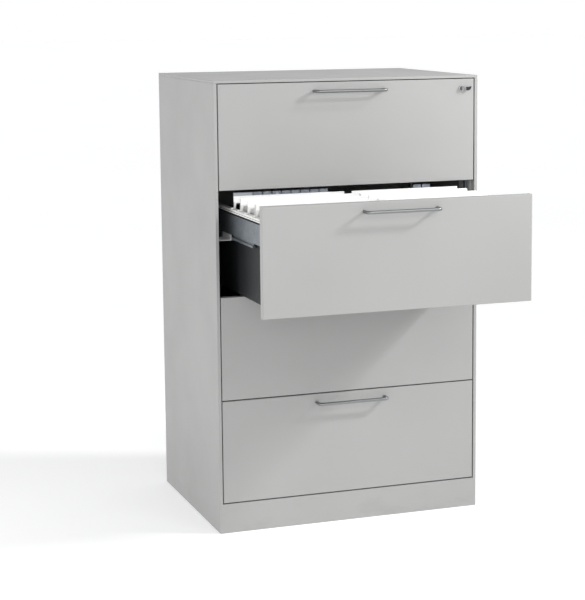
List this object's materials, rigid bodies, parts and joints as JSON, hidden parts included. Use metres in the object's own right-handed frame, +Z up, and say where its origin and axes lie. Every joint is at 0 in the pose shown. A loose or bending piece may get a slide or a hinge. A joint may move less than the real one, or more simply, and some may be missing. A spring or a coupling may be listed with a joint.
{
  "type": "lateral suspension-file cabinet",
  "caption": "Light grey steel lateral filing cabinet: full-width drawers on telescopic slides, bow handles, central lock; one drawer stands open on two rows of hanging files.",
  "frame": {"origin": "on the floor, at the centre of the cabinet's footprint", "axes": "+X to the cabinet's right as seen from in front, +Y to the back, +Z up"},
  "size_m": [0.8, 1.0215, 1.292],
  "materials": {
    "cabinet_paint": "satin",
    "front_paint": "satin",
    "post_paint": "satin",
    "tray_paint": "satin",
    "slide_zinc": "satin",
    "handle_steel": "satin",
    "screw_steel": "satin",
    "lock_chrome": "polished",
    "black_plastic": "matte",
    "files": "matte",
    "hook_white": "satin",
    "clear_tab": "gloss"
  },
  "bodies": {
    "cabinet": {"side_panel_left": "cabinet_paint", "side_panel_right": "cabinet_paint", "top_panel": "cabinet_paint", "back_panel": "cabinet_paint", "base_pan": "cabinet_paint", "plinth": "cabinet_paint", "front_post_left": "post_paint", "front_post_right": "post_paint", "rear_post_left": "post_paint", "rear_post_right": "post_paint", "levelling_feet": "black_plastic", "slide_brackets": "post_paint", "cabinet_slides_1": "slide_zinc", "cabinet_slides_2": "slide_zinc", "cabinet_slides_3": "slide_zinc", "cabinet_slides_4": "slide_zinc"},
    "drawer_1": {"front_shell_1": "front_paint", "front_liner_1": "front_paint", "tray_1": "tray_paint", "file_rails_1": "hook_white", "drawer_slides_1": "slide_zinc", "handle_1": "handle_steel", "handle_screws_1": "screw_steel", "lock_housing": "lock_chrome", "lock_nut": "screw_steel"},
    "slide_1": {"middle_slides_1": "slide_zinc"},
    "drawer_2": {"front_shell_2": "front_paint", "front_liner_2": "front_paint", "tray_2": "tray_paint", "file_rails_2": "hook_white", "drawer_slides_2": "slide_zinc", "handle_2": "handle_steel", "handle_screws_2": "screw_steel", "hanging_files_left": "files", "hanging_files_right": "files", "file_hooks": "hook_white", "label_tabs": "clear_tab"},
    "slide_2": {"middle_slides_2": "slide_zinc"},
    "drawer_3": {"front_shell_3": "front_paint", "front_liner_3": "front_paint", "tray_3": "tray_paint", "file_rails_3": "hook_white", "drawer_slides_3": "slide_zinc", "handle_3": "handle_steel", "handle_screws_3": "screw_steel"},
    "slide_3": {"middle_slides_3": "slide_zinc"},
    "drawer_4": {"front_shell_4": "front_paint", "front_liner_4": "front_paint", "tray_4": "tray_paint", "file_rails_4": "hook_white", "drawer_slides_4": "slide_zinc", "handle_4": "handle_steel", "handle_screws_4": "screw_steel"},
    "slide_4": {"middle_slides_4": "slide_zinc"},
    "lock_plug": {"lock_plug": "lock_chrome", "lock_cam": "screw_steel", "key_blade": "lock_chrome"},
    "key_bow": {"key_bow": "black_plastic"},
    "locking_bar": {"locking_bar": "slide_zinc"}
  },
  "joints": [
    {"name": "drawer_1_slide", "type": "slide", "parent": "cabinet", "child": "drawer_1", "axis": [0, -1, 0], "range_m": [0, 0.52]},
    {"name": "slide_1_run", "type": "slide", "parent": "cabinet", "child": "slide_1", "axis": [0, -1, 0], "range_m": [0, 0.26]},
    {"name": "drawer_2_slide", "type": "slide", "parent": "cabinet", "child": "drawer_2", "axis": [0, -1, 0], "range_m": [-0.387, 0.133]},
    {"name": "slide_2_run", "type": "slide", "parent": "cabinet", "child": "slide_2", "axis": [0, -1, 0], "range_m": [-0.1935, 0.0665]},
    {"name": "drawer_3_slide", "type": "slide", "parent": "cabinet", "child": "drawer_3", "axis": [0, -1, 0], "range_m": [0, 0.52]},
    {"name": "slide_3_run", "type": "slide", "parent": "cabinet", "child": "slide_3", "axis": [0, -1, 0], "range_m": [0, 0.26]},
    {"name": "drawer_4_slide", "type": "slide", "parent": "cabinet", "child": "drawer_4", "axis": [0, -1, 0], "range_m": [0, 0.52]},
    {"name": "slide_4_run", "type": "slide", "parent": "cabinet", "child": "slide_4", "axis": [0, -1, 0], "range_m": [0, 0.26]},
    {"name": "lock_turn", "type": "hinge", "parent": "drawer_1", "child": "lock_plug", "pos_m": [0.3495, -0.3, 1.254], "axis": [0, -1, 0], "range_deg": [0, 90]},
    {"name": "key_fold", "type": "hinge", "parent": "lock_plug", "child": "key_bow", "pos_m": [0.3495, -0.3085, 1.254], "axis": [0, 0, -1], "range_deg": [0, 90]},
    {"name": "locking_bar_lift", "type": "slide", "parent": "cabinet", "child": "locking_bar", "axis": [0, 0, 1], "range_m": [0, 0.02545]}
  ],
  "couplings": [
    {"joint": "slide_1_run", "follows": "drawer_1_slide", "ratio": 0.5},
    {"joint": "slide_2_run", "follows": "drawer_2_slide", "ratio": 0.5},
    {"joint": "slide_3_run", "follows": "drawer_3_slide", "ratio": 0.5},
    {"joint": "slide_4_run", "follows": "drawer_4_slide", "ratio": 0.5},
    {"joint": "lock_turn", "follows": "locking_bar_lift", "rad_per_m": 61.7}
  ]
}
